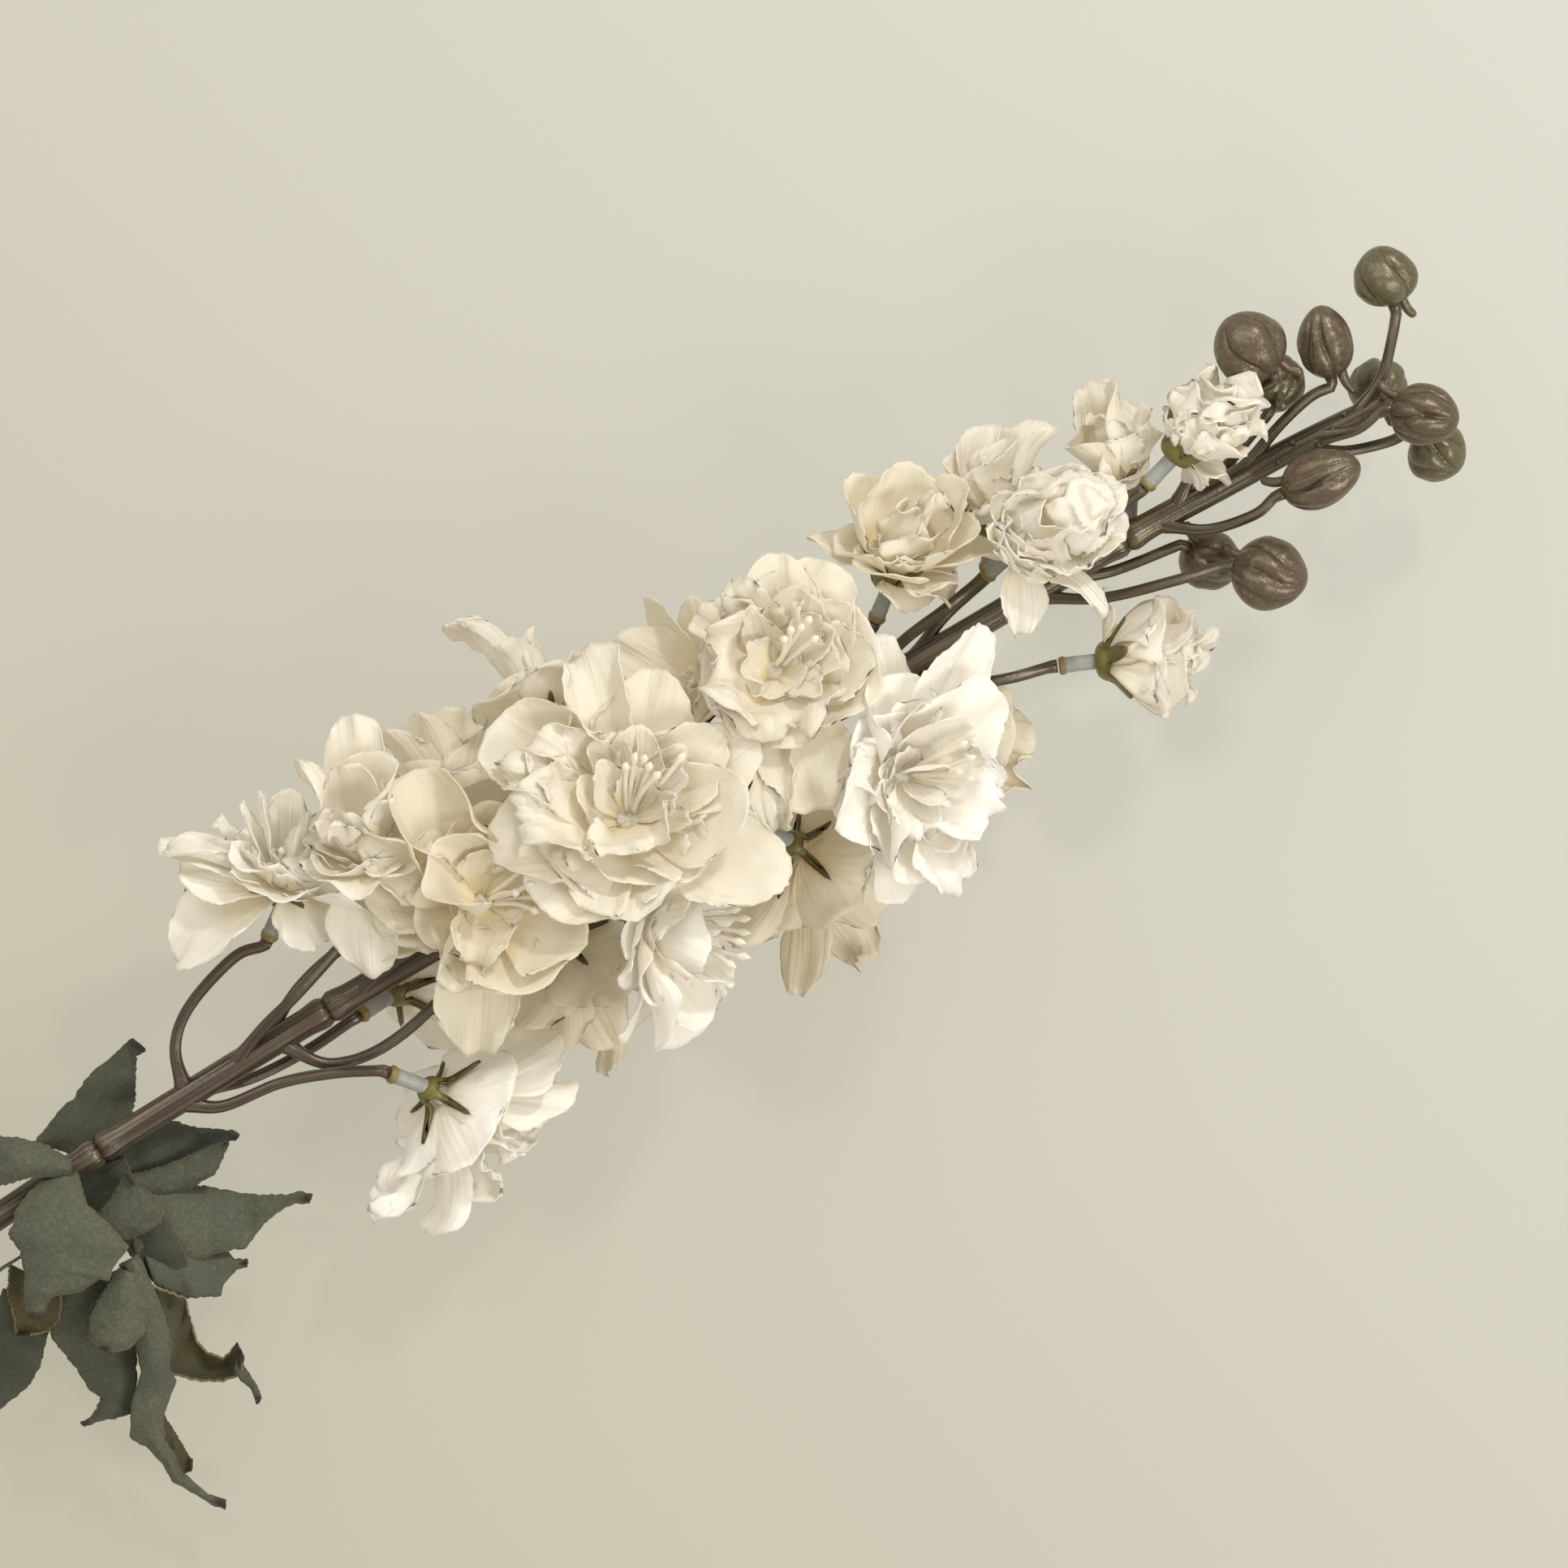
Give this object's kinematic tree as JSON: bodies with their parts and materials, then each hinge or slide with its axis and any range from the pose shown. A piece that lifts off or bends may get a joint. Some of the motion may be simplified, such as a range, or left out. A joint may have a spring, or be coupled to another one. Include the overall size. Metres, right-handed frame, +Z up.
{
  "type": "artificial larkspur flower spray",
  "caption": "Lying artificial larkspur spray: wired moulded stem with curved flower stalks, ruffled cream fabric blooms, dark buds at the tip and lobed leaves below.",
  "frame": {"origin": "bottom centre of the whole spray's box, on the surface that it lies on", "axes": "+X along the stem from the cut end to the tip, +Z up from the surface, +Y across the stem"},
  "size_m": [0.4482, 0.129, 0.083],
  "materials": {
    "wire": "cut steel wire, slightly dulled",
    "moulded_stem": "satin brown-purple moulded polyethylene with fine lengthwise lines",
    "moulded_bud": "satin olive-brown moulded plastic with lengthwise seams",
    "calyx": "olive-green moulded calyx on a translucent sleeve",
    "petal_fabric": "heat-formed cream fabric with a waxy surface",
    "leaf_fabric": "dusty grey-green pressed fabric, dark at the tips"
  },
  "bodies": {
    "root": {"core_wire": "wire", "lower_stem": "moulded_stem", "lower_flower_section": "moulded_stem", "upper_flower_section": "moulded_stem", "bud_section": "moulded_stem", "flower_01_calyx": "calyx", "flower_02_calyx": "calyx", "flower_03_calyx": "calyx", "flower_04_calyx": "calyx", "flower_05_calyx": "calyx", "flower_06_calyx": "calyx", "flower_07_calyx": "calyx", "flower_08_calyx": "calyx", "flower_09_calyx": "calyx", "flower_10_calyx": "calyx", "flower_11_calyx": "calyx", "flower_12_calyx": "calyx", "flower_13_calyx": "calyx", "flower_14_calyx": "calyx", "flower_15_calyx": "calyx", "flower_16_calyx": "calyx", "flower_17_calyx": "calyx", "flower_18_calyx": "calyx", "flower_19_calyx": "calyx", "flower_20_calyx": "calyx", "flower_21_calyx": "calyx", "flower_01_petals": "petal_fabric", "flower_02_petals": "petal_fabric", "flower_03_petals": "petal_fabric", "flower_04_petals": "petal_fabric", "flower_05_petals": "petal_fabric", "flower_06_petals": "petal_fabric", "flower_07_petals": "petal_fabric", "flower_08_petals": "petal_fabric", "flower_09_petals": "petal_fabric", "flower_10_petals": "petal_fabric", "flower_11_petals": "petal_fabric", "flower_12_petals": "petal_fabric", "flower_13_petals": "petal_fabric", "flower_14_petals": "petal_fabric", "flower_15_petals": "petal_fabric", "flower_16_petals": "petal_fabric", "flower_17_petals": "petal_fabric", "flower_18_petals": "petal_fabric", "flower_19_petals": "petal_fabric", "flower_20_petals": "petal_fabric", "flower_21_petals": "petal_fabric", "bud_01": "moulded_bud", "bud_02": "moulded_bud", "bud_03": "moulded_bud", "bud_04": "moulded_bud", "bud_05": "moulded_bud", "bud_06": "moulded_bud", "bud_07": "moulded_bud", "bud_08": "moulded_bud", "bud_09": "moulded_bud", "bud_10": "moulded_bud", "leaf_behind": "leaf_fabric", "leaf_side": "leaf_fabric", "leaf_front": "leaf_fabric"}
  },
  "joints": []
}
